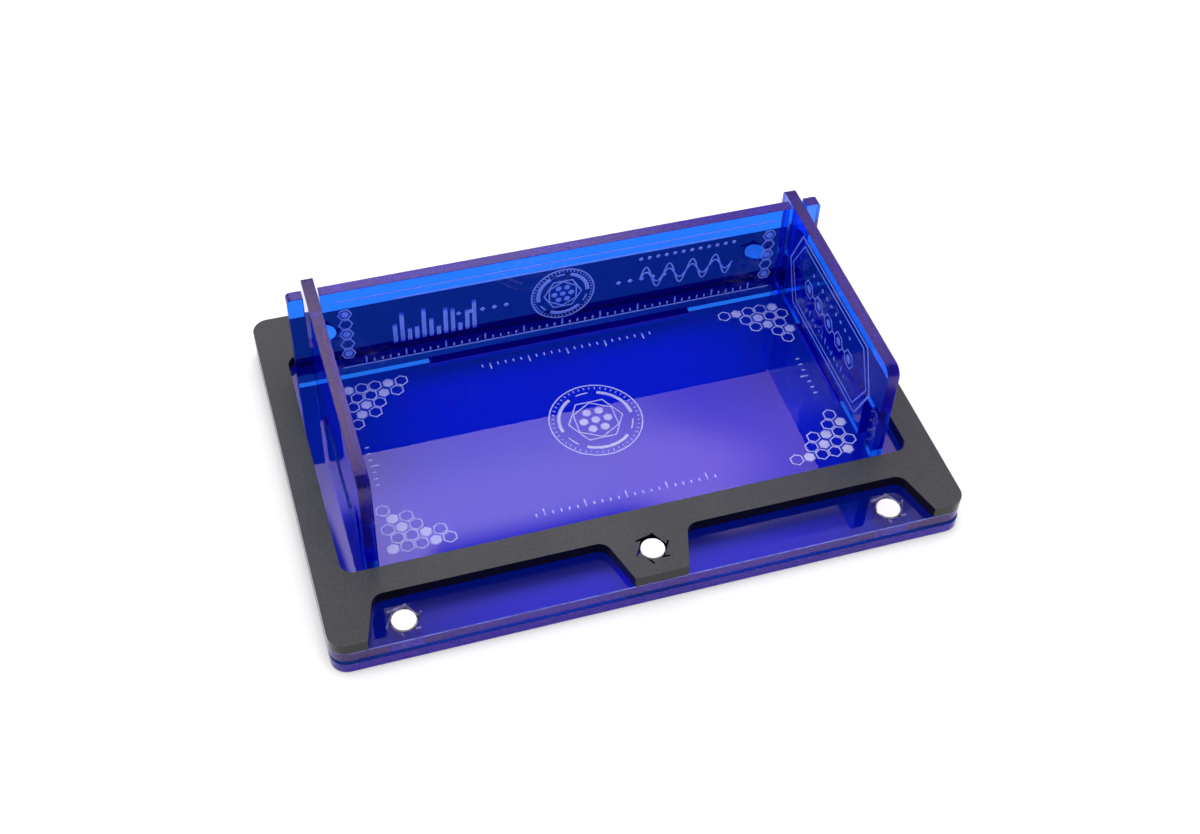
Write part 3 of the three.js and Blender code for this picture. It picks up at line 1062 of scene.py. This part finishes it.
class TRAY_OT_stage(bpy.types.Operator):
    """Set the floor, the light and the camera"""

    bl_idname = "tray.stage"
    bl_label = "Stage"

    def execute(self, context):
        scene = context.scene
        looks = scene.tray_stage
        self.make_floor(looks)
        self.make_sky(scene, looks)
        self.make_card(looks)
        self.make_camera(scene, looks)
        scene.view_settings.view_transform = "Standard"
        scene.cycles.max_bounces = LIGHT_BOUNCES
        scene.cycles.transmission_bounces = LIGHT_BOUNCES
        scene.cycles.glossy_bounces = LIGHT_BOUNCES
        scene.cycles.transparent_max_bounces = 16
        return {"FINISHED"}

    def make_floor(self, looks):
        """Pale paper that adds white where it is seen, with a painted contact shadow: less of it close to
        the tray.
        """
        half = looks.floor_width / 2
        corners = [(-half, -half, 0.0), (half, -half, 0.0), (half, half, 0.0), (-half, half, 0.0)]
        mesh = rectangle("floor", corners)
        finish = Finish("floor_paper")
        rays = finish.node("ShaderNodeLightPath")
        seen, mirrored, through = (
            Signal(finish, rays.outputs[f"Is {kind} Ray"]) for kind in ("Camera", "Glossy", "Transmission")
        )
        share = seen + mirrored + through * looks.floor_glow_through
        # Painted contact shadow: where ambient occlusion finds the tray close by, the glow drops to the
        # contact shade.
        reach = {"Distance": looks.contact_reach}
        open_share = finish.signal("ShaderNodeAmbientOcclusion", {"samples": 4}, reach, output="AO")
        away = finish.fade(open_share, "contact")
        glow = finish.mixed_colours(away, opaque(looks.contact_shade), opaque(WHITE))
        values = {
            "Base Color": opaque(looks.floor_colour),
            "Roughness": 1.0,
            "Specular IOR Level": 0.0,
            "Emission Color": finish.mixed_colours(share, opaque(WHITE, 0.0), glow),
            "Emission Strength": looks.floor_glow,
        }
        mesh.materials.append(finish.shine(values))
        new_object("floor", mesh)

    def make_sky(self, scene, looks):
        """An even white sky that mirrors at full strength only low down behind the tray."""
        world = bpy.data.worlds.new("studio")
        world.use_nodes = True
        world.node_tree.nodes.clear()
        sky = NodeTree(world.node_tree)
        mirrored = sky.signal("ShaderNodeLightPath", output="Is Glossy Ray")
        way = sky.parts(sky.signal("ShaderNodeTexCoord", output="Generated"))
        bright = sky.fade(way[1], "sky_behind") * sky.fade(way[2], "sky_low")
        shade = mirrored * (1.0 - bright) * (1.0 - looks.sky_mirrored)
        glow = sky.shades(shade, WHITE, 1.0, 0.0)
        light = sky.signal("ShaderNodeBackground", {}, {"Color": glow, "Strength": looks.sky})
        sky.node("ShaderNodeOutputWorld", {}, {"Surface": light})
        scene.world = world

    def make_card(self, looks):
        """A soft light card behind the tray, whose glow fades towards its edges."""
        (left, right), (foot, top) = CARD_SIDES, CARD_ENDS
        corners = [(x, CARD_PLACE, z) for x, z in ((left, foot), (right, foot), (right, top), (left, top))]
        mesh = rectangle("light_card", corners)
        finish = Finish("card_glow")
        across, _, upward = finish.parts(finish.place)
        fade = finish.fade
        slant = fade(upward, "slant")
        sides = fade(across, "card_left") * fade(across - slant, "dimmer")
        lower = fade(upward, "card_foot") * fade(upward, "card_lower")
        step = fade(across, "top_left") * fade(across, "top_middle")
        rise = step + fade(across, "top_right")
        ends = lower * fade(upward - rise, "card_top")
        lit = sides * ends * fade(across, "card_right")
        over = fade(upward, "over_card") * fade(across, "over_right")
        violet = fade(across, "violet_right") * fade(upward, "violet_top")
        tint = finish.mixed_colours(violet, opaque(WHITE), opaque(looks.card_violet))
        dim, sky = (opaque(WHITE, looks.sky * share / looks.card) for share in (looks.sky_mirrored, 1.0))
        colour = finish.mixed_colours(over, finish.mixed_colours(lit, dim, tint), sky)
        light = finish.signal("ShaderNodeEmission", {}, {"Color": colour, "Strength": looks.card})
        finish.node("ShaderNodeOutputMaterial", {}, {"Surface": light})
        mesh.materials.append(finish.material)
        card = new_object("light_card", mesh)
        card.visible_camera = False
        card.visible_transmission = False
        card.visible_shadow = False

    def make_camera(self, scene, looks):
        data = bpy.data.cameras.new("camera")
        data.lens = looks.camera_lens
        data.clip_start = 0.01
        camera = new_object("camera", data)
        sight = Vector(looks.camera_aim) - Vector(looks.camera_place)
        level = sight.to_track_quat("-Z", "Y")
        roll = Quaternion((0.0, 0.0, 1.0), looks.camera_roll)
        camera.matrix_world = Matrix.Translation(looks.camera_place) @ (level @ roll).to_matrix().to_4x4()
        scene.camera = camera


class TRAY_PT_sidebar(bpy.types.Panel):
    """Lists the tray's operators and settings"""

    bl_idname = "TRAY_PT_sidebar"
    bl_label = "Dice tray"
    bl_space_type = "VIEW_3D"
    bl_region_type = "UI"
    bl_category = "Dice tray"

    def draw(self, context):
        for operator in OPERATORS:
            self.layout.operator(operator.bl_idname)
        for name, group in GROUPS.items():
            settings = getattr(context.scene, name)
            for field in group.__annotations__:
                self.layout.prop(settings, field)


GROUPS = {
    "tray_acrylic": TrayAcrylic,
    "tray_engraving": TrayEngraving,
    "tray_magnets": TrayMagnets,
    "tray_stage": TrayStage,
}
OPERATORS = [
    TRAY_OT_stage,
    TRAY_OT_blue_sheets,
    TRAY_OT_black_frame,
    TRAY_OT_frame_bond,
    TRAY_OT_engraving,
    TRAY_OT_magnets,
]
CLASSES = [*GROUPS.values(), *OPERATORS, TRAY_PT_sidebar]


def register():
    for cls in CLASSES:
        bpy.utils.register_class(cls)
    for name, group in GROUPS.items():
        setattr(bpy.types.Scene, name, PointerProperty(type=group))


def unregister():
    for name in GROUPS:
        delattr(bpy.types.Scene, name)
    for cls in reversed(CLASSES):
        bpy.utils.unregister_class(cls)


def main():
    register()
    bpy.ops.tray.stage()
    bpy.ops.tray.blue_sheets()
    bpy.ops.tray.black_frame()
    bpy.ops.tray.frame_bond()
    bpy.ops.tray.engraving()
    bpy.ops.tray.magnets()


if __name__ == "__main__":
    main()
